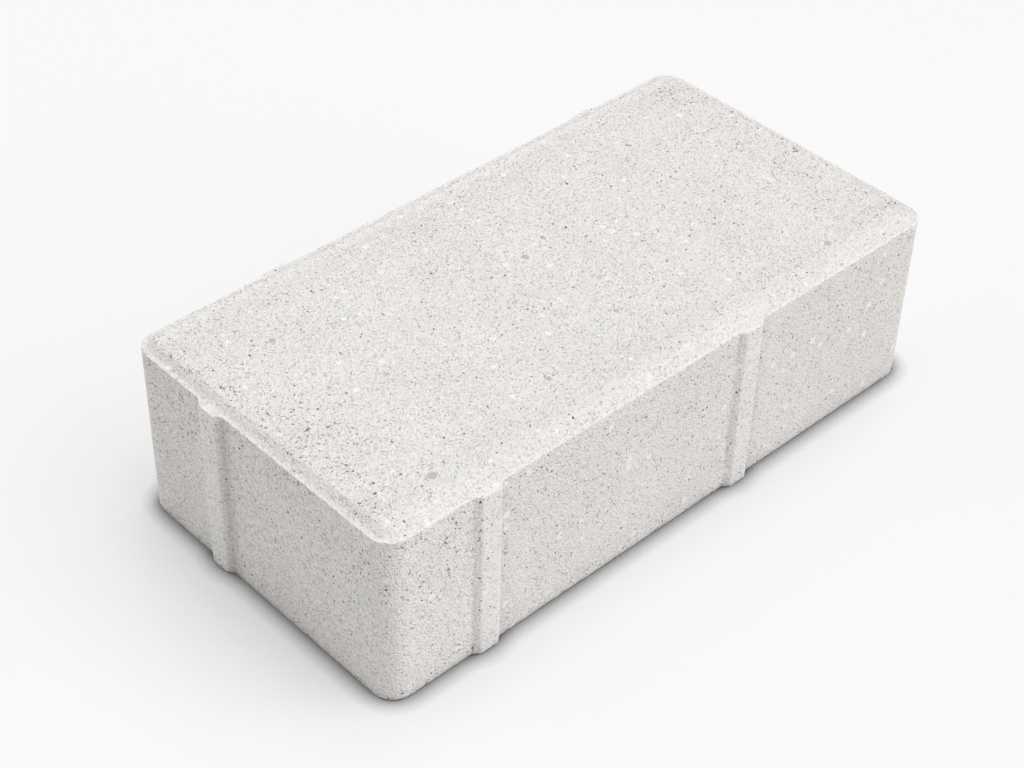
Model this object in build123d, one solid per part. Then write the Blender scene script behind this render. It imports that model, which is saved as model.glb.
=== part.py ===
# Pressed concrete paving stone: a rectangular block with rounded corners, a chamfered
# wearing face that stands on a narrow lip, and upright spacer nibs on three sides.
# Millimetres. X runs along the length, Z is up, and the origin is the middle of the bed face.

import os

from build123d import *

# Block
block_length = 210.0
block_width = 107.0
block_height = 60.0
corner_radius = 7.0

# Wearing face: a flat lip, then a chamfer that rises to the top
lip_width = 1.8
chamfer_rise = 2.0
chamfer_angle = 45.0
lip_arris_radius = 0.3
face_edge_radius = 1.2

# Spacer nibs, seen in plan; those on the back are shallower
nib_stand_out = 1.7
back_nib_stand_out = 0.85
nib_tip_width = 5.9
nib_flank_run = 2.2
nib_tip_radius = 0.6
nib_root_radius = 0.4

# Nib places, as fractions of the side they stand on, counted from its -X or -Y end.
# Facing sides differ, so that the nibs of two stones laid in a row pass each other,
# and the end that faces +X is plain.
front_nib_places = (0.161, 0.630)
back_nib_places = (0.234, 0.815)
left_nib_places = (0.667,)

# Worked-out sizes
lip_level = block_height - chamfer_rise
half_length = block_length / 2
half_width = block_width / 2
nib_root_width = nib_tip_width + 2 * nib_flank_run


def along(places, side_length):
    return [side_length * (place - 0.5) for place in places]


def nib_stations():
    # Each nib's place on the outline, turned to point away from it, and its stand-out
    stations = []
    for x in along(front_nib_places, block_length):
        stations.append((Location((x, -half_width), 180), nib_stand_out))
    for x in along(back_nib_places, block_length):
        stations.append((Location((x, half_width), 0), back_nib_stand_out))
    for y in along(left_nib_places, block_width):
        stations.append((Location((-half_length, y), 90), nib_stand_out))
    return stations


def nib_outline(stand_out):
    # The nib points along +Y from the side line, and its foot reaches into the block.
    foot_depth = stand_out
    outline = Polygon(
        (-nib_root_width / 2, -foot_depth),
        (nib_root_width / 2, -foot_depth),
        (nib_root_width / 2, 0),
        (nib_tip_width / 2, stand_out),
        (-nib_tip_width / 2, stand_out),
        (-nib_root_width / 2, 0),
        align=None,
    )
    tips = outline.vertices().group_by(Axis.Y)[-1]
    return fillet(tips, nib_tip_radius)


def nib_roots(plan, station):
    # The two points where a nib's flanks leave the side of the block
    root_points = [
        (station * Location((side * nib_root_width / 2, 0))).position
        for side in (-1, 1)
    ]
    return [
        min(plan.vertices(), key=lambda vertex: (Vector(vertex) - point).length)
        for point in root_points
    ]


def plan_outline():
    plan = RectangleRounded(block_length, block_width, corner_radius)
    for station, stand_out in nib_stations():
        plan += station * nib_outline(stand_out)
    for station, _ in nib_stations():
        plan = fillet(nib_roots(plan, station), nib_root_radius)
    return plan


def wearing_face():
    # The raised part inside the lip, drawn in by the chamfer on its way up
    foot = RectangleRounded(
        block_length - 2 * lip_width,
        block_width - 2 * lip_width,
        corner_radius - lip_width,
    )
    face = extrude(Pos(0, 0, lip_level) * foot, chamfer_rise, taper=chamfer_angle)
    return fillet(face.edges().group_by(Axis.Z)[-1], face_edge_radius)


def paving_stone():
    block = extrude(plan_outline(), lip_level)
    block = fillet(block.edges().group_by(Axis.Z)[-1], lip_arris_radius)
    return block + wearing_face()


os.makedirs("parts", exist_ok=True)
stone = paving_stone()
export_step(stone, "parts/paving_stone.step")
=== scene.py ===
import bmesh
import bpy
import math
import numpy as np
from mathutils import Matrix, Vector, noise
from mathutils.geometry import delaunay_2d_cdt


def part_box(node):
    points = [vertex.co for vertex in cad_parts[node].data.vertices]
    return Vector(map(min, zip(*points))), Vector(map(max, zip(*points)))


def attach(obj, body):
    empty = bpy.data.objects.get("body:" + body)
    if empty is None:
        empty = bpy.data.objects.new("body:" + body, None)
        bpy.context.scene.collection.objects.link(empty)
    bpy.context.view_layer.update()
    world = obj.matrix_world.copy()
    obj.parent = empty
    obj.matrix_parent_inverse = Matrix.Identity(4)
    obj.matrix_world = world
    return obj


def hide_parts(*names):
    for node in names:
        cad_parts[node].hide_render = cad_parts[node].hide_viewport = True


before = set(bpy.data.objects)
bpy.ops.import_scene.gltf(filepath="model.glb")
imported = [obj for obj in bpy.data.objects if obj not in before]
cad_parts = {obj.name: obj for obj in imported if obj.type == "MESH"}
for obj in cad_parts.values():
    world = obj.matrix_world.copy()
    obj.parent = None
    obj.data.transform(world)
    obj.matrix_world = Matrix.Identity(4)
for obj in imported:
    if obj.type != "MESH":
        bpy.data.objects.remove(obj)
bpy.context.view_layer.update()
stoneNode = "paving_stone"
mm = 0.001


# the stone's own sizes, in millimetres, as the CAD solid has them, and how finely it is meshed
stone = {
    "lipWidth": 1.8,
    "chamferRise": 2.0,
    "cornerRadius": 7.0,
    "lipArris": 0.3,
    "faceEdge": 1.2,
    "bedArris": 0.25,  # the CAD solid's is sharp
    "nibStandOut": 1.7,
    "wallStep": 1.25,
    "ringStep": 0.75,
    "nibStep": 0.28,
    "topStep": 0.86,
    "bedStep": 2.4,
    "rootShadeReach": 1.5,  # how far the painted shade and the wear with painted highlight spread from a nib's corners
    "wearAndHighlightReach": 0.8,
    "tipWearAndHighlight": 0.45,  # wear with painted highlight on the nibs' tips and on the lip's arris, 0 to 1
    "lipWearAndHighlight": 0.65,
}


def bedOutline(node):
    # walks round the edge of the bed face, so the plan with its nibs comes from the CAD solid
    weldDistance = 0.001 * mm
    facingDown = -0.99
    bm = bmesh.new()
    bm.from_mesh(node.data)
    bmesh.ops.remove_doubles(bm, verts=bm.verts, dist=weldDistance)
    bedFaces = {face for face in bm.faces if face.normal.z < facingDown}
    rim = [edge for edge in bm.edges if sum(face in bedFaces for face in edge.link_faces) == 1]
    beside = {}
    for edge in rim:
        for vert in edge.verts:
            beside.setdefault(vert, []).append(edge.other_vert(vert))
    start = rim[0].verts[0]
    walk, last, here = [start], None, start
    while True:
        step = next(vert for vert in beside[here] if vert is not last)
        if step is start:
            break
        walk.append(step)
        last, here = here, step
    points = np.array([vert.co.xy for vert in walk]) / mm
    bm.free()
    x, y = points.T
    area = np.sum(x * np.roll(y, -1) - y * np.roll(x, -1))
    return points if area > 0 else points[::-1]


def onPlainBlock(points, halfSize):
    # nearest point and outward normal on the block without its nibs
    radius = stone["cornerRadius"]
    core = np.clip(points, radius - halfSize, halfSize - radius)
    normal = points - core
    normal /= np.linalg.norm(normal, axis=1)[:, None]
    return core + normal * radius, normal


def resample(outline, halfSize):
    # even steps round the stone, with shorter ones on the nibs
    walkStep = 0.1
    leastStandOut = 0.03  # anything further out than this is a nib
    closed = np.vstack([outline, outline[:1]])
    lengths = np.linalg.norm(np.diff(closed, axis=0), axis=1)
    along = np.concatenate([[0], np.cumsum(lengths)])
    fine = np.arange(0, along[-1], walkStep)
    dense = np.stack([np.interp(fine, along, closed[:, k]) for k in (0, 1)], axis=1)
    plain, _ = onPlainBlock(dense, halfSize)
    onNib = np.linalg.norm(dense - plain, axis=1) > leastStandOut
    weight = np.where(onNib, stone["ringStep"] / stone["nibStep"], 1.0)
    reach = np.concatenate([[0], np.cumsum(weight)])[:-1]
    count = int(round(reach[-1] * walkStep / stone["ringStep"]))
    wanted = np.linspace(0, reach[-1], count, endpoint=False)
    return np.stack([np.interp(wanted, reach, dense[:, k]) for k in (0, 1)], axis=1)


def outlineNormals(points):
    run = np.roll(points, -1, axis=0) - np.roll(points, 1, axis=0)
    normal = np.stack([run[:, 1], -run[:, 0]], axis=1)
    return normal / np.linalg.norm(normal, axis=1)[:, None]


def nibMarks(outline):
    # painted shade in the hollow corners at the nibs' feet, and wear with painted highlight on their proud
    # corners, both 0 to 1
    ahead = np.roll(outline, -1, axis=0) - outline
    behind = outline - np.roll(outline, 1, axis=0)
    cross = behind[:, 0] * ahead[:, 1] - behind[:, 1] * ahead[:, 0]
    turn = np.arctan2(cross, np.sum(behind * ahead, axis=1))
    turn[np.linalg.norm(behind, axis=1) > 1.5 * stone["nibStep"]] = 0  # off the nibs
    marks = []
    for bend, span in ((-turn, stone["rootShadeReach"]), (turn, stone["wearAndHighlightReach"])):
        reach = span / stone["nibStep"]
        bend = np.clip(bend, 0, None)
        steps = range(-int(2 * reach), int(2 * reach) + 1)
        spread = sum(np.roll(bend, k) * math.exp(-2 * (k / reach) ** 2) for k in steps)
        marks.append(spread / spread.max())
    return marks


def edgeProfile(height):
    # from the top of the lip's rounded arris inward over the lip and up the chamfer: (inset, level)
    lipLevel = height - stone["chamferRise"]
    rise, lip, edge = stone["chamferRise"], stone["lipWidth"], stone["faceEdge"]
    tangent = edge * math.tan(math.radians(22.5))  # half of the chamfer's 45 degrees
    bend = tangent * math.sqrt(0.5)
    insets = [(inset, lipLevel) for inset in np.linspace(stone["lipArris"], lip, 3)[1:]]
    for share in (0.3, 0.6, 1.0):
        climb = share * (rise - bend)
        insets.append((lip + climb, lipLevel + climb))
    centre = (lip + rise + tangent, height - edge)
    for turn in (30, 15, 0):
        angle = math.radians(turn)
        insets.append((centre[0] - edge * math.sin(angle), centre[1] + edge * math.cos(angle)))
    return insets


def stoneRings(outline, halfSize, height):
    # rows of points from the bed up the wall, over the lip and the chamfer to the top
    plain, inward = onPlainBlock(outline, halfSize)
    outward = outlineNormals(outline)
    lipLevel = height - stone["chamferRise"]
    arris, bed = stone["lipArris"], stone["bedArris"]
    rows = []

    def addRow(points, level):
        rows.append(np.column_stack([points, np.full(len(points), level)]))

    for turn in (90, 45, 0):
        angle = math.radians(turn)
        addRow(outline - outward * bed * (1 - math.cos(angle)), bed * (1 - math.sin(angle)))
    wallTop = lipLevel - arris
    wallRows = int(round((wallTop - bed) / stone["wallStep"]))
    for level in np.linspace(bed, wallTop, wallRows + 1)[1:]:
        addRow(outline, level)
    for turn in (30, 60, 90):
        angle = math.radians(turn)
        addRow(outline - outward * arris * (1 - math.cos(angle)), wallTop + arris * math.sin(angle))
    for inset, level in edgeProfile(height):
        addRow(plain - inward * inset, level)
    return rows


def fillFlat(ring, step, level):
    # a flat field of near-equal triangles inside a ring
    low, high = ring[:, :2].min(0), ring[:, :2].max(0)
    inset = 0.75 * step  # keeps the field's first row off the ring
    halfSize = (high - low) / 2 - inset
    middle = (high + low) / 2
    points = [Vector(p) for p in ring[:, :2]]
    rowStep = step * math.sqrt(0.75)  # height of an equal-sided triangle
    rowCount = int(2 * halfSize[1] / rowStep)
    leastRadius = 0.5
    radius = stone["cornerRadius"] - stone["lipWidth"] - stone["chamferRise"] - inset
    radius = max(radius, leastRadius)
    for row in range(rowCount + 1):
        y = -halfSize[1] + row * 2 * halfSize[1] / rowCount
        past = max(abs(y) - halfSize[1] + radius, 0)  # how far the row lies into the round corners
        reach = halfSize[0] - (radius - math.sqrt(max(radius ** 2 - past ** 2, 0)))
        count = int(2 * reach / step)
        shift = 0.5 * (row % 2) / count
        for k in range(count + 1 - row % 2):
            x = middle[0] - reach + 2 * reach * (k / count + shift)
            points.append(Vector((x, middle[1] + y)))
    ringEdges = [(k, (k + 1) % len(ring)) for k in range(len(ring))]
    flat = delaunay_2d_cdt(points, ringEdges, [], 1, 1e-7)
    return np.array([(p.x, p.y, level) for p in flat[0]]), flat[2], flat[3]


def markStone(mesh, rows, outline, halfSize, lipLevel):
    # painted shade at the nibs' feet on the walls, wear with painted highlight on the nibs, and the arris of
    # the lip worn pale all round, partly a painted highlight
    count = len(outline)
    wallRows = sum(row[0, 2] < lipLevel - stone["lipArris"] / 2 for row in rows)
    justBelow = lipLevel - 1e-6
    lipRows = sum(row[0, 2] < justBelow for row in rows) + 1
    rootShadeMark, wearAndHighlightMark = nibMarks(outline)
    plain, _ = onPlainBlock(outline, halfSize)
    proud = np.linalg.norm(outline - plain, axis=1) / stone["nibStandOut"]
    onTip = np.clip(3 * proud - 2, 0, 1)  # the outer third of a nib
    wearAndHighlightMark = np.maximum(wearAndHighlightMark, stone["tipWearAndHighlight"] * onTip)
    rootShade, wearAndHighlight = np.zeros((2, len(mesh.vertices)))
    rootShade[:wallRows * count] = np.tile(rootShadeMark, wallRows)
    wearAndHighlight[:wallRows * count] = np.tile(wearAndHighlightMark, wallRows)
    wearAndHighlight[wallRows * count:lipRows * count] = stone["lipWearAndHighlight"]
    mesh.attributes.new("paintedRootShade", "FLOAT", "POINT").data.foreach_set("value", rootShade)
    mesh.attributes.new("edgeWearAndHighlight", "FLOAT", "POINT").data.foreach_set("value", wearAndHighlight)


def buildStone():
    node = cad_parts[stoneNode]
    low, high = (np.array(corner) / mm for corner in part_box(stoneNode))
    height = high[2]
    halfSize = np.array([high[0], -low[1] - stone["nibStandOut"]])
    outline = resample(bedOutline(node), halfSize)
    rows = stoneRings(outline, halfSize, height)
    count = len(outline)
    verts = list(rows)
    faces = []
    for r in range(len(rows) - 1):
        here, above = r * count, (r + 1) * count
        for k in range(count):
            nextK = (k + 1) % count
            faces.append((here + k, here + nextK, above + nextK, above + k))
    total = len(rows) * count
    for ring, ringStart, step, level, upward in (
        (rows[-1], (len(rows) - 1) * count, stone["topStep"], height, True),
        (rows[0], 0, stone["bedStep"], 0.0, False),
    ):
        points, triangles, source = fillFlat(ring, step, level)
        place = {}
        fresh = []
        for k, origins in enumerate(source):
            if origins and origins[0] < count:
                place[k] = ringStart + origins[0]
            else:
                place[k] = total + len(fresh)
                fresh.append(points[k])
        verts.append(np.array(fresh))
        total += len(fresh)
        for triangle in triangles:
            corners = [place[k] for k in triangle]
            a, b, c = (points[k] for k in triangle)
            turnsLeft = (b[0] - a[0]) * (c[1] - a[1]) - (b[1] - a[1]) * (c[0] - a[0]) > 0
            faces.append(corners if turnsLeft == upward else corners[::-1])
    mesh = bpy.data.meshes.new("pavingStone")
    mesh.from_pydata(np.vstack(verts) * mm, [], faces)
    mesh.validate()
    mesh.polygons.foreach_set("use_smooth", [True] * len(mesh.polygons))
    markStone(mesh, rows, outline, halfSize, height - stone["chamferRise"])
    piece = bpy.data.objects.new("pavingStone", mesh)
    bpy.context.scene.collection.objects.link(piece)
    triangleCount = sum(len(polygon.vertices) - 2 for polygon in mesh.polygons)
    print("stone meshed:", len(mesh.vertices), "points,", triangleCount, "triangles")
    return piece, halfSize, height


# cast relief in millimetres: everything is pressed in from the CAD faces, never out
relief = {
    "swellSize": 9.0,
    "swellDepth": 0.08,
    "lumpSize": 2.0,
    "lumpDepth": 0.08,
    "lumpShift": (17, 5, 3),  # so that lumps and swell don't share a pattern
    "endLumps": 0.16,  # deeper lumps near the ends of the top
    "endReach": 22.0,
    "endRise": 1.4,
    "nickSize": 1.5,
    "endNicks": 0.27,
    "sideNicks": 0.08,
    "bedNicks": 0.25,
    "arrisReach": 0.4,
    "arrisSlopes": (0.2, 0.97),  # upward part of the normal on the lip's arris and the chamfer
    "endSlope": 0.3,  # lengthwise part of it, where the arris runs along an end
    "bedSlope": -0.95,
    "bedShare": 0.3,  # the bed is smoother than the rest
}


def roughen(piece, halfSize, height):
    mesh = piece.data
    lipLevel = height - stone["chamferRise"]
    topLevel = height - stone["chamferRise"] / 2
    lumpShift = Vector(relief["lumpShift"])
    steepest, flattest = relief["arrisSlopes"]
    count = len(mesh.vertices)
    points = np.empty(count * 3)
    normals = np.empty(count * 3)
    mesh.vertices.foreach_get("co", points)
    mesh.vertices.foreach_get("normal", normals)
    points = points.reshape(-1, 3) / mm
    normals = normals.reshape(-1, 3)
    depth = np.empty(count)
    for k, point in enumerate(points):
        p = Vector(point)
        swell = 0.5 - 0.5 * noise.noise(p / relief["swellSize"])
        lump = 0.5 - 0.5 * noise.noise(p / relief["lumpSize"] + lumpShift)
        depth[k] = relief["swellDepth"] * swell + relief["lumpDepth"] * lump
        if p.z > topLevel:
            fromEnd = halfSize[0] - abs(p.x)
            near = relief["endRise"] - relief["endRise"] * fromEnd / relief["endReach"]
            depth[k] += relief["endLumps"] * lump * min(1, max(0, near))
        # the lip's outer arris, the chamfer and the bed's edge crumble a little
        upward = normals[k][2]
        nick = max(0.0, noise.noise(p / relief["nickSize"]))
        if p.z > lipLevel - relief["arrisReach"] and steepest < upward < flattest:
            facesEnd = abs(normals[k][0]) > relief["endSlope"]
            depth[k] += nick * (relief["endNicks"] if facesEnd else relief["sideNicks"])
        elif p.z < stone["bedArris"] and upward > relief["bedSlope"]:
            depth[k] += relief["bedNicks"] * nick
        elif upward < relief["bedSlope"]:
            depth[k] *= relief["bedShare"]
    points -= normals * depth[:, None]
    points[:, 2] = np.clip(points[:, 2], 0, height)
    mesh.vertices.foreach_set("co", (points * mm).ravel())
    mesh.update()
    print("stone roughened, deepest", round(float(depth.max()), 3), "mm")


def addNode(tree, kind, **settings):
    node = tree.nodes.new(kind)
    for name, value in settings.items():
        setattr(node, name, value)
    return node


def feed(tree, socket, value):
    # a socket takes another node's output, or a plain value
    if isinstance(value, bpy.types.NodeSocket):
        tree.links.new(value, socket)
    else:
        socket.default_value = value


def calc(tree, operation, *values, clamp=False):
    node = addNode(tree, "ShaderNodeMath", operation=operation, use_clamp=clamp)
    for socket, value in zip(node.inputs, values):
        feed(tree, socket, value)
    return node.outputs[0]


def times(tree, a, b):
    return calc(tree, "MULTIPLY", a, b)


def changed(tree, base, mask, change, clamp=False):
    # a value that changes by so much where the mask is 1
    return calc(tree, "MULTIPLY_ADD", mask, change, base, clamp=clamp)


def calcVector(tree, operation, *values):
    node = addNode(tree, "ShaderNodeVectorMath", operation=operation)
    for socket, value in zip(node.inputs, values):
        feed(tree, socket, value)
    return node.outputs[0]


def ramp(tree, value, start, end, low=0.0, high=1.0):
    node = addNode(tree, "ShaderNodeMapRange", interpolation_type="SMOOTHSTEP")
    given = {"Value": value, "From Min": start, "From Max": end, "To Min": low, "To Max": high}
    for name, setting in given.items():
        feed(tree, node.inputs[name], setting)
    return node.outputs["Result"]


def tint(tree, factor, under, over, blend="MIX"):
    node = addNode(tree, "ShaderNodeMix", data_type="RGBA", blend_type=blend)
    feed(tree, node.inputs["Factor"], factor)
    feed(tree, node.inputs[6], under)
    feed(tree, node.inputs[7], over)
    return node.outputs[2]


def cloud(tree, vector, size, detail=2.0, roughness=0.5):
    node = addNode(tree, "ShaderNodeTexNoise")
    feed(tree, node.inputs["Vector"], vector)
    node.inputs["Scale"].default_value = 1.0 / size
    node.inputs["Detail"].default_value = detail
    node.inputs["Roughness"].default_value = roughness
    return node.outputs["Fac"]


def srgb(red, green, blue):
    # photo-style 0-255 colour to the linear values that sockets take
    parts = [c / 255 for c in (red, green, blue)]
    return tuple(c / 12.92 if c <= 0.04045 else ((c + 0.055) / 1.055) ** 2.4 for c in parts) + (1.0,)


def newGroup(name, inputs, outputs):
    group = bpy.data.node_groups.new(name, "ShaderNodeTree")
    group.interface.new_socket("Place", in_out="INPUT", socket_type="NodeSocketVector")
    for socketName in inputs:
        group.interface.new_socket(socketName, in_out="INPUT", socket_type="NodeSocketFloat")
    for socketName in outputs:
        group.interface.new_socket(socketName, in_out="OUTPUT", socket_type="NodeSocketFloat")
    given = addNode(group, "NodeGroupInput").outputs
    seedShift = (13.7, 5.3, 29.1)  # each seed moves the pattern to another place
    shift = addNode(group, "ShaderNodeCombineXYZ")
    for socket, share in zip(shift.inputs, seedShift):
        feed(group, socket, times(group, given["Seed"], share))
    place = calcVector(group, "ADD", given["Place"], shift.outputs[0])
    return group, given, place, addNode(group, "NodeGroupOutput").inputs


def speckField():
    # irregular specks: the peaks of a noise, cut off at a level
    group, given, place, results = newGroup("speckField", ("Size", "Level", "Softness", "Seed"), ("Mask",))
    peaks = addNode(group, "ShaderNodeTexNoise")
    feed(group, peaks.inputs["Vector"], place)
    feed(group, peaks.inputs["Scale"], calc(group, "DIVIDE", 1.0, given["Size"]))
    peaks.inputs["Detail"].default_value = 1.5
    peaks.inputs["Roughness"].default_value = 0.6
    full = calc(group, "ADD", given["Level"], given["Softness"])
    feed(group, results["Mask"], ramp(group, peaks.outputs["Fac"], given["Level"], full))
    return group


def crackField():
    # short crooked gaps between grains: the contour lines of one noise, let through by another
    group, given, place, results = newGroup("crackField", ("Size", "Width", "Level", "Seed"), ("Mask",))
    contourSize, gateSize = 1.0, 0.8
    lineCore = 0.4  # share of the width that is fully dark
    gateEdge = 0.04
    contour = cloud(group, place, contourSize, detail=1.0)
    gate = cloud(group, place, gateSize, detail=1.0)
    for source in (contour, gate):
        scale = source.node.inputs["Scale"]
        feed(group, scale, calc(group, "DIVIDE", scale.default_value, given["Size"]))
    away = calc(group, "ABSOLUTE", calc(group, "SUBTRACT", contour, 0.5))
    line = ramp(group, away, given["Width"], times(group, given["Width"], lineCore))
    shown = ramp(group, gate, given["Level"], calc(group, "ADD", given["Level"], gateEdge))
    feed(group, results["Mask"], times(group, line, shown))
    return group


def grainScatter():
    # rounded grains of about one size: cells of a foam, some of them filled
    group, given, place, results = newGroup("grainScatter", ("Spacing", "Share", "Reach", "Seed"), ("Mask",))
    leastSize, sizeRange = 0.6, 0.8  # as shares of the reach
    grainCore = 0.75
    cells = addNode(group, "ShaderNodeTexVoronoi", voronoi_dimensions="3D", feature="F1")
    feed(group, cells.inputs["Vector"], place)
    feed(group, cells.inputs["Scale"], calc(group, "DIVIDE", 1.0, given["Spacing"]))
    chance = addNode(group, "ShaderNodeSeparateColor")
    feed(group, chance.inputs[0], cells.outputs["Color"])
    chosen = calc(group, "LESS_THAN", chance.outputs["Red"], given["Share"])
    spread = changed(group, leastSize, chance.outputs["Green"], sizeRange)
    size = times(group, given["Reach"], spread)
    body = ramp(group, cells.outputs["Distance"], size, times(group, size, grainCore))
    feed(group, results["Mask"], times(group, chosen, body))
    return group


def scatter(tree, group, place, **settings):
    node = addNode(tree, "ShaderNodeGroup", node_tree=group)
    feed(tree, node.inputs["Place"], place)
    for name, value in settings.items():
        feed(tree, node.inputs[name.capitalize()], value)
    return node.outputs["Mask"]


# pressed concrete: colours as the photo shows them, sizes in millimetres
concrete = {
    # paste and its light and dark
    "pasteWarm": srgb(244, 238, 235),
    "pasteCool": srgb(241, 240, 234),
    "pasteRim": srgb(242, 239, 236),
    "rimShare": 0.6,
    "hueSize": 2.8,
    "hueEdge": (0.38, 0.62),  # the stretch of a noise that the edge of its patches takes up
    "driftSize": 30.0,
    "driftEdge": (0.35, 0.65),
    "driftTone": (1.0, 0.97),
    "grainSize": 0.6,
    # painted light and shade on the fine grains: offset towards the lamps, and how strongly it shows
    "litSide": (0.15, -0.1, 0.25),
    "litTone": (0.43, 0.34, 0.2),  # on the top, more on all sides, and more again on the end walls
    "stirSize": 0.7,
    "stirAmount": 0.9,
    # painted shade in the hollows at the nibs' feet, deeper on the end walls
    "rootShade": 0.09,
    "endRootShade": 0.1,
    # painted shade on the lip along the ends
    "endLipBand": (2.8, 2.2),
    "endLipShadeTone": 0.05,
    # wear with painted highlight, pale on the nibs' corners and the lip's arris
    "wearAndHighlightTone": 0.95,
    # parts of the surface, by depth below the top: start of each and where it is full
    "rimDepths": (2.8, 2.4),
    "topDepths": (1.2, 0.4),
    "lipDepths": (1.6, 1.9),
    # where the surface is open or closed, by distance from the ends and the long sides
    "patchSize": 9.0,
    "patchEdge": (0.36, 0.64),
    "patchOpen": 0.4,
    "endBand": (32.0, 8.0),
    "wallRise": (0.3, 0.9),  # as shares of the height
    "wallBand": (60.0, 15.0),
    "wallOpen": (0.3, 0.9),  # high on the walls, midway and near the ends
    "endWall": (7.0, 3.0),
    "endWallOpen": -0.2,
    "closedOpen": -0.6,
    "sideBand": (8.8, 6.2),
    "bandWave": 2.0,
    "bandTone": 0.15,
    "troughBand": (20.0, 11.0),
    "troughTone": 0.022,
    # colours of what is in the paste, and how strongly each shows
    "white": srgb(253, 252, 250),
    "tan": srgb(214, 188, 165),
    "tanShow": 0.45,
    "pebble": srgb(196, 196, 193),
    "pebbleShow": 0.9,
    "pebbleCore": 0.8,  # share of a pebble's width that is fully grey
    "gap": srgb(124, 104, 92),
    "hairShow": 0.4,
    "gapShow": 0.37,
    "gapShowOpen": 0.15,  # more where the surface is open
    "dot": srgb(100, 82, 72),
    # painted shade inside the open pits
    "shadedPit": srgb(124, 100, 86),
    "pitShow": 0.85,
    # sizes and shares, with the changes where the surface is open, on the sides or on the end walls
    "whites": {"spacing": 1.2, "reach": 0.27, "seed": 1.0},
    "whiteShare": 0.22,
    "whiteOnEnds": 0.15,
    "flakes": {"spacing": 4.2, "share": 0.3, "reach": 0.22, "seed": 2.0},
    "hairs": {"size": 1.5, "width": 0.025, "level": 0.47, "seed": 7.0},
    "gaps": {"size": 0.92, "width": 0.05, "seed": 3.0},
    "gapLevel": 0.61,
    "gapOpen": -0.04,
    "dots": {"spacing": 1.6, "seed": 8.0},
    "dotShare": 0.12,
    "dotOpen": 0.03,
    "dotSides": {"start": 50.0, "end": -30.0, "low": 0.05, "high": 0.2},  # more towards -X
    "dotOnEnds": -0.1,
    "dotReach": 0.16,
    "dotReachSides": 0.05,
    "tans": {"spacing": 2.6, "share": 0.03, "reach": 0.26, "seed": 4.0},
    "pits": {"size": 1.2, "softness": 0.03, "seed": 6.0},
    "pitLevel": 0.72,
    "pitOpen": -0.052,
    # grey pebbles in the top: place along and across it, and half width
    "pebbles": [
        (-80, -42, 1.5),
        (0, 9, 1.3),
        (-77, 27, 1.1),
        (-32, -34, 1.0),
        (2, -25.5, 0.9),
        (70, -44, 1.2),
    ],
    # surface: matt, a little smoother where the mould pressed the rim; bump heights in millimetres
    "roughness": 0.94,
    "rimRoughness": -0.1,
    "specular": 0.2,
    "gritHeight": 0.35,
    "gapHeight": -0.2,
    "pitHeight": -0.3,
    "whiteHeight": 0.15,
}


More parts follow.
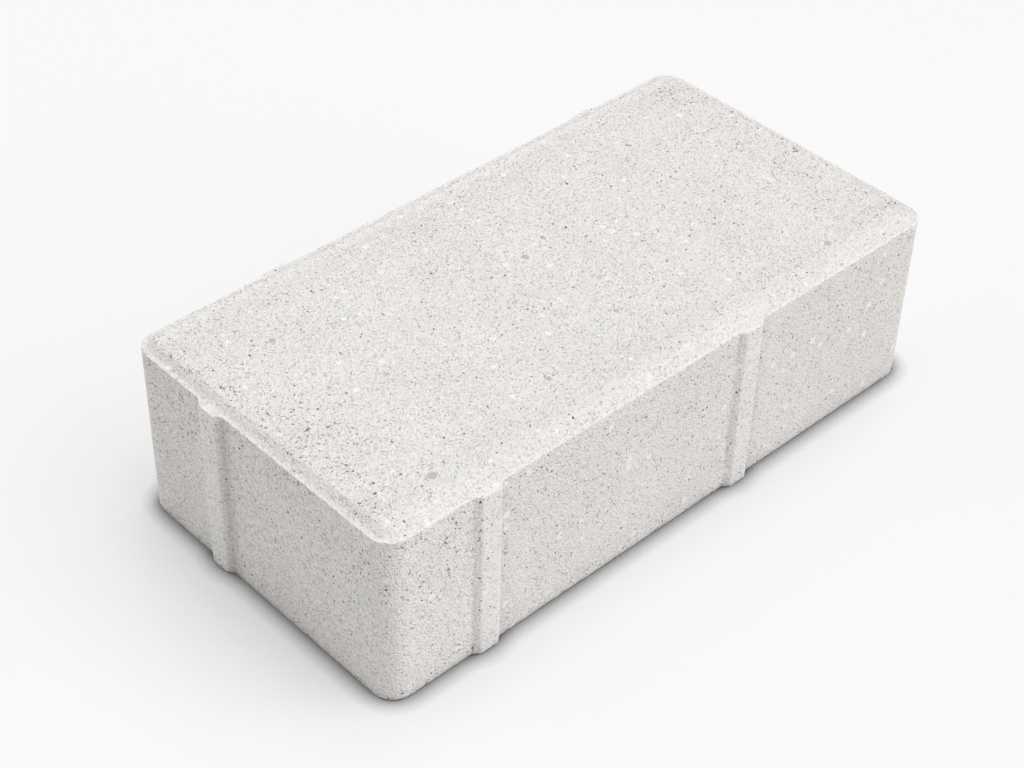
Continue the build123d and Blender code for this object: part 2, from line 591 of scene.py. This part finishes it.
def pressedConcrete(halfSize, height):
    material = bpy.data.materials.new("pressedConcrete")
    material.use_nodes = True
    tree = material.node_tree
    tree.nodes.clear()
    shader = addNode(tree, "ShaderNodeBsdfPrincipled")
    output = addNode(tree, "ShaderNodeOutputMaterial")
    tree.links.new(shader.outputs[0], output.inputs[0])
    cracks, specks, grains = crackField(), speckField(), grainScatter()

    # place on the stone in millimetres, and one stirred a little so that no grain is quite round
    coords = addNode(tree, "ShaderNodeTexCoord")
    place = calcVector(tree, "MULTIPLY", coords.outputs["Object"], (1 / mm,) * 3)
    stir = addNode(tree, "ShaderNodeTexNoise")
    feed(tree, stir.inputs["Vector"], place)
    stir.inputs["Scale"].default_value = 1 / concrete["stirSize"]
    stir.inputs["Detail"].default_value = 1.0
    stirAmount = concrete["stirAmount"]
    stirred = calcVector(tree, "MULTIPLY_ADD", stir.outputs["Color"], (stirAmount,) * 3, place)
    stirMiddle = stirAmount / 2
    axes = addNode(tree, "ShaderNodeSeparateXYZ")
    feed(tree, axes.inputs[0], place)
    x, y, z = axes.outputs

    def reaching(depths):
        return ramp(tree, z, *(height - depth for depth in depths))

    # where on the stone: sides, rim, top, lip, and how far from the ends and the long sides
    aboveSides = reaching(concrete["rimDepths"])
    top = reaching(concrete["topDepths"])
    rim = calc(tree, "SUBTRACT", aboveSides, top)
    sides = calc(tree, "SUBTRACT", 1.0, aboveSides)
    lip = times(tree, aboveSides, reaching(concrete["lipDepths"]))
    fromEnd = calc(tree, "SUBTRACT", halfSize[0], calc(tree, "ABSOLUTE", x))
    fromSide = calc(tree, "SUBTRACT", halfSize[1], calc(tree, "ABSOLUTE", y))
    endWalls = times(tree, sides, ramp(tree, fromEnd, *concrete["endWall"]))
    # painted shade at the nibs' feet and wear with painted highlight, both from the mesh
    rootShade = addNode(tree, "ShaderNodeAttribute", attribute_name="paintedRootShade").outputs["Fac"]
    wearAndHighlight = addNode(tree, "ShaderNodeAttribute", attribute_name="edgeWearAndHighlight").outputs["Fac"]

    # how open the surface is: patches, more at the ends of the top and high on the walls
    patches = cloud(tree, place, concrete["patchSize"], detail=3.0, roughness=0.6)
    patches = ramp(tree, patches, *concrete["patchEdge"])
    ends = times(tree, ramp(tree, fromEnd, *concrete["endBand"]), top)
    wallTop = ramp(tree, fromEnd, *concrete["wallBand"], *concrete["wallOpen"])
    wallLevels = [height * share for share in concrete["wallRise"]]
    walls = times(tree, sides, ramp(tree, z, *wallLevels, 0.0, wallTop))
    openness = times(tree, calc(tree, "ADD", ends, walls), patches)
    openness = changed(tree, openness, patches, concrete["patchOpen"])
    # and closed on a wavering band inside the long sides, on the lip and where it is worn
    wave = changed(tree, concrete["bandWave"] / 2, patches, -concrete["bandWave"])
    waved = calc(tree, "ADD", fromSide, wave)
    sideBand = times(tree, ramp(tree, waved, *concrete["sideBand"]), aboveSides)
    trough = times(tree, ramp(tree, waved, *concrete["troughBand"]), top)
    trough = times(tree, trough, calc(tree, "SUBTRACT", 1.0, sideBand))
    closed = calc(tree, "MAXIMUM", calc(tree, "MAXIMUM", sideBand, lip), wearAndHighlight)
    openness = changed(tree, openness, closed, concrete["closedOpen"])
    openness = changed(tree, openness, endWalls, concrete["endWallOpen"])

    # paste, pinker and greener in small patches, more even on the rim
    hue = ramp(tree, cloud(tree, place, concrete["hueSize"]), *concrete["hueEdge"])
    tone = tint(tree, hue, concrete["pasteWarm"], concrete["pasteCool"])
    tone = tint(tree, times(tree, rim, concrete["rimShare"]), tone, concrete["pasteRim"])
    drift = cloud(tree, place, concrete["driftSize"], detail=3.0)
    shade = ramp(tree, drift, *concrete["driftEdge"], *concrete["driftTone"])
    # painted light and shade: fine grains pale on the side towards the lamps and dark on the other
    grainSize = concrete["grainSize"]
    fine = cloud(tree, place, grainSize, detail=1.0, roughness=0.6)
    besidePlace = calcVector(tree, "ADD", place, concrete["litSide"])
    beside = cloud(tree, besidePlace, grainSize, detail=1.0, roughness=0.6)
    lit = calc(tree, "SUBTRACT", fine, beside)
    onTop, onSides, onEnds = concrete["litTone"]
    litTone = changed(tree, changed(tree, onTop, sides, onSides), endWalls, onEnds)
    shade = times(tree, shade, changed(tree, 1.0, lit, litTone))
    # painted shade at the nibs' feet, painted shade on the lip along the ends, a trough inside the pressed
    # band
    rootShadeDepth = changed(tree, -concrete["rootShade"], endWalls, -concrete["endRootShade"])
    shade = times(tree, shade, changed(tree, 1.0, rootShade, rootShadeDepth))
    # painted shade on the lip along the ends
    endLipShade = times(tree, lip, ramp(tree, fromEnd, *concrete["endLipBand"]))
    shade = times(tree, shade, changed(tree, 1.0, endLipShade, -concrete["endLipShadeTone"]))
    shade = times(tree, shade, changed(tree, 1.0, trough, -concrete["troughTone"]))
    tone = tint(tree, 1.0, tone, shade, "MULTIPLY")
    tone = tint(tree, times(tree, sideBand, concrete["bandTone"]), tone, concrete["white"])
    # wear with painted highlight: pale on the nibs' corners and the lip's arris
    tone = tint(tree, times(tree, wearAndHighlight, concrete["wearAndHighlightTone"]), tone, concrete["white"])

    # sand: pale grains, hairlines and dark gaps between the grains, flakes over them
    whiteShare = changed(tree, concrete["whiteShare"], endWalls, concrete["whiteOnEnds"])
    white = scatter(tree, grains, stirred, share=whiteShare, **concrete["whites"])
    tone = tint(tree, white, tone, concrete["white"])
    hair = scatter(tree, cracks, place, **concrete["hairs"])
    tone = tint(tree, times(tree, hair, concrete["hairShow"]), tone, concrete["gap"])
    gapLevel = changed(tree, concrete["gapLevel"], openness, concrete["gapOpen"])
    gap = scatter(tree, cracks, place, level=gapLevel, **concrete["gaps"])
    gapShow = changed(tree, concrete["gapShow"], openness, concrete["gapShowOpen"], clamp=True)
    tone = tint(tree, times(tree, gap, gapShow), tone, concrete["gap"])
    flake = scatter(tree, grains, stirred, **concrete["flakes"])
    tone = tint(tree, flake, tone, concrete["white"])

    # dark dots, tan grains, grey pebbles, and open pits pressed in by the bump with painted shade inside
    # them
    sideDots = ramp(tree, x, **concrete["dotSides"])
    sideDots = changed(tree, sideDots, endWalls, concrete["dotOnEnds"])
    dotShare = changed(tree, concrete["dotShare"], sides, sideDots)
    dotShare = changed(tree, dotShare, openness, concrete["dotOpen"])
    longSides = calc(tree, "SUBTRACT", sides, endWalls)
    dotReach = changed(tree, concrete["dotReach"], longSides, concrete["dotReachSides"])
    dot = scatter(tree, grains, stirred, share=dotShare, reach=dotReach, **concrete["dots"])
    tone = tint(tree, dot, tone, concrete["dot"])
    tan = scatter(tree, grains, stirred, **concrete["tans"])
    tone = tint(tree, times(tree, tan, concrete["tanShow"]), tone, concrete["tan"])
    for along, across, half in concrete["pebbles"]:
        away = addNode(tree, "ShaderNodeVectorMath", operation="DISTANCE")
        feed(tree, away.inputs[0], stirred)
        feed(tree, away.inputs[1], (along + stirMiddle, across + stirMiddle, height + stirMiddle))
        pebble = ramp(tree, away.outputs["Value"], half, half * concrete["pebbleCore"])
        tone = tint(tree, times(tree, pebble, concrete["pebbleShow"]), tone, concrete["pebble"])
    pitLevel = changed(tree, concrete["pitLevel"], openness, concrete["pitOpen"])
    shadedPit = scatter(tree, specks, stirred, level=pitLevel, **concrete["pits"])
    tone = tint(tree, times(tree, shadedPit, concrete["pitShow"]), tone, concrete["shadedPit"])
    feed(tree, shader.inputs["Base Color"], tone)

    roughness = changed(tree, concrete["roughness"], rim, concrete["rimRoughness"])
    feed(tree, shader.inputs["Roughness"], roughness)
    shader.inputs["Specular IOR Level"].default_value = concrete["specular"]
    level = times(tree, fine, concrete["gritHeight"])
    level = changed(tree, level, gap, concrete["gapHeight"])
    level = changed(tree, level, shadedPit, concrete["pitHeight"])
    level = changed(tree, level, white, concrete["whiteHeight"])
    bump = addNode(tree, "ShaderNodeBump")
    bump.inputs["Strength"].default_value = 1.0
    bump.inputs["Distance"].default_value = mm
    feed(tree, bump.inputs["Height"], level)
    feed(tree, shader.inputs["Normal"], bump.outputs[0])
    print("concrete mixed:", len(tree.nodes), "nodes")
    return material


# pale floor, even sky and soft lamps, lengths in metres; a lamp's level is the light that it sheds
# on a face turned to it
studio = {
    "floorSize": 6.0,
    "floorDrop": 0.05 * mm,
    "floorColour": srgb(249, 249, 249),
    "floorGlow": 0.6,
    # painted shadow on the floor: a short one all round the stone and a long soft one on its left
    "shadeSamples": 4,
    "shades": {
        "contact": {"reach": 0.006, "lean": (0.0, 0.0, 1.0), "depth": 2.1, "fall": 1.4},
        "leftSide": {"reach": 0.060, "lean": (0.51, 0.0, 0.86), "depth": 0.52, "fall": 2.0},
    },
    "skyLevel": 0.12,
    "seenSky": 0.95,
    "lamps": {
        "rightLamp": {
            "level": 0.43,
            "from": (0.40, -0.70, 0.59),
            "softness": 60,
            "colour": (0.97, 0.97, 1.0),
        },
        "leftLamp": {
            "level": 0.215,
            "from": (-0.50, 0.70, 0.50),
            "softness": 60,
            "colour": (1, 1, 1),
        },
        "topLamp": {
            "level": 0.525,
            "from": (0.05, -0.04, 0.99),
            "softness": 40,
            "colour": (1, 1, 1),
        },
    },
}


def shutIn(tree, shade):
    # how much painted shadow the stone puts on the floor: the share of a sky that may lean to one side which
    # it takes away, 0 to 1
    sky = addNode(tree, "ShaderNodeAmbientOcclusion", samples=studio["shadeSamples"])
    sky.inputs["Distance"].default_value = shade["reach"]
    lean = addNode(tree, "ShaderNodeCombineXYZ")
    for socket, share in zip(lean.inputs, shade["lean"]):
        socket.default_value = share
    feed(tree, sky.inputs["Normal"], lean.outputs[0])
    shut = calc(tree, "POWER", calc(tree, "SUBTRACT", 1.0, sky.outputs["AO"]), shade["fall"])
    return calc(tree, "MULTIPLY", shut, shade["depth"], clamp=True)


def studioFloor():
    mesh = bpy.data.meshes.new("studioFloor")
    reach = studio["floorSize"] / 2
    level = -studio["floorDrop"]
    signs = ((-1, -1), (1, -1), (1, 1), (-1, 1))
    mesh.from_pydata([(reach * a, reach * b, level) for a, b in signs], [], [(0, 1, 2, 3)])
    floor = bpy.data.objects.new("studioFloor", mesh)
    bpy.context.scene.collection.objects.link(floor)
    material = bpy.data.materials.new("studioFloor")
    material.use_nodes = True
    tree = material.node_tree
    shader = tree.nodes["Principled BSDF"]
    # a glowing light table with painted shadow where the stone shuts it in
    black = (0, 0, 0, 1)
    colour = studio["floorColour"]
    for shade in studio["shades"].values():
        colour = tint(tree, shutIn(tree, shade), colour, black)
    feed(tree, shader.inputs["Base Color"], tint(tree, studio["floorGlow"], colour, black))
    feed(tree, shader.inputs["Emission Color"], colour)
    shader.inputs["Emission Strength"].default_value = studio["floorGlow"]
    shader.inputs["Roughness"].default_value = 1.0
    shader.inputs["Specular IOR Level"].default_value = 0.0
    mesh.materials.append(material)
    print("floor laid")


def studioLight():
    world = bpy.data.worlds.new("studioSky")
    world.use_nodes = True
    tree = world.node_tree
    tree.nodes.clear()
    sky = addNode(tree, "ShaderNodeBackground")
    sky.inputs["Color"].default_value = (1, 1, 1, 1)
    seen = addNode(tree, "ShaderNodeLightPath").outputs["Is Camera Ray"]
    strength = ramp(tree, seen, 0.0, 1.0, studio["skyLevel"], studio["seenSky"])
    feed(tree, sky.inputs["Strength"], strength)
    tree.links.new(sky.outputs[0], addNode(tree, "ShaderNodeOutputWorld").inputs[0])
    bpy.context.scene.world = world
    for name, lamp in studio["lamps"].items():
        data = bpy.data.lights.new(name, "SUN")
        data.energy = lamp["level"] * math.pi
        data.color = lamp["colour"]
        data.angle = math.radians(lamp["softness"])
        light = bpy.data.objects.new(name, data)
        light.rotation_euler = Vector(lamp["from"]).to_track_quat("Z", "Y").to_euler()
        bpy.context.scene.collection.objects.link(light)
    bpy.context.scene.view_settings.view_transform = "Standard"
    print("studio set with", len(studio["lamps"]), "lamps")


# where the photo was taken from: angles in degrees, lengths in metres, lens for a 36 mm wide sensor
photoCamera = {
    "azimuth": -43.94,
    "elevation": 40.50,
    "roll": 1.55,
    "distance": 0.6052,
    "target": (-0.0165, -0.0041, 0.030),
    "lens": 74.18,
    "sensorWidth": 36.0,
    "nearest": 0.01,
}


def buildCamera():
    azimuth, elevation, roll = (math.radians(photoCamera[k]) for k in ("azimuth", "elevation", "roll"))
    flat = math.cos(elevation)
    back = Vector((math.sin(azimuth) * flat, -math.cos(azimuth) * flat, math.sin(elevation)))
    data = bpy.data.cameras.new("photoCamera")
    data.lens = photoCamera["lens"]
    data.sensor_width = photoCamera["sensorWidth"]
    data.clip_start = photoCamera["nearest"]
    camera = bpy.data.objects.new("photoCamera", data)
    turned = back.to_track_quat("Z", "Y").to_matrix() @ Matrix.Rotation(roll, 3, "Z")
    camera.matrix_world = turned.to_4x4()
    camera.location = Vector(photoCamera["target"]) + back * photoCamera["distance"]
    bpy.context.scene.collection.objects.link(camera)
    bpy.context.scene.camera = camera
    print("camera placed at", [round(v, 4) for v in camera.location])


stonePiece, stoneHalf, stoneHeight = buildStone()
roughen(stonePiece, stoneHalf, stoneHeight)
stonePiece.data.materials.append(pressedConcrete(stoneHalf, stoneHeight))
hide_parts(stoneNode)
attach(stonePiece, "root")
studioFloor()
studioLight()
buildCamera()
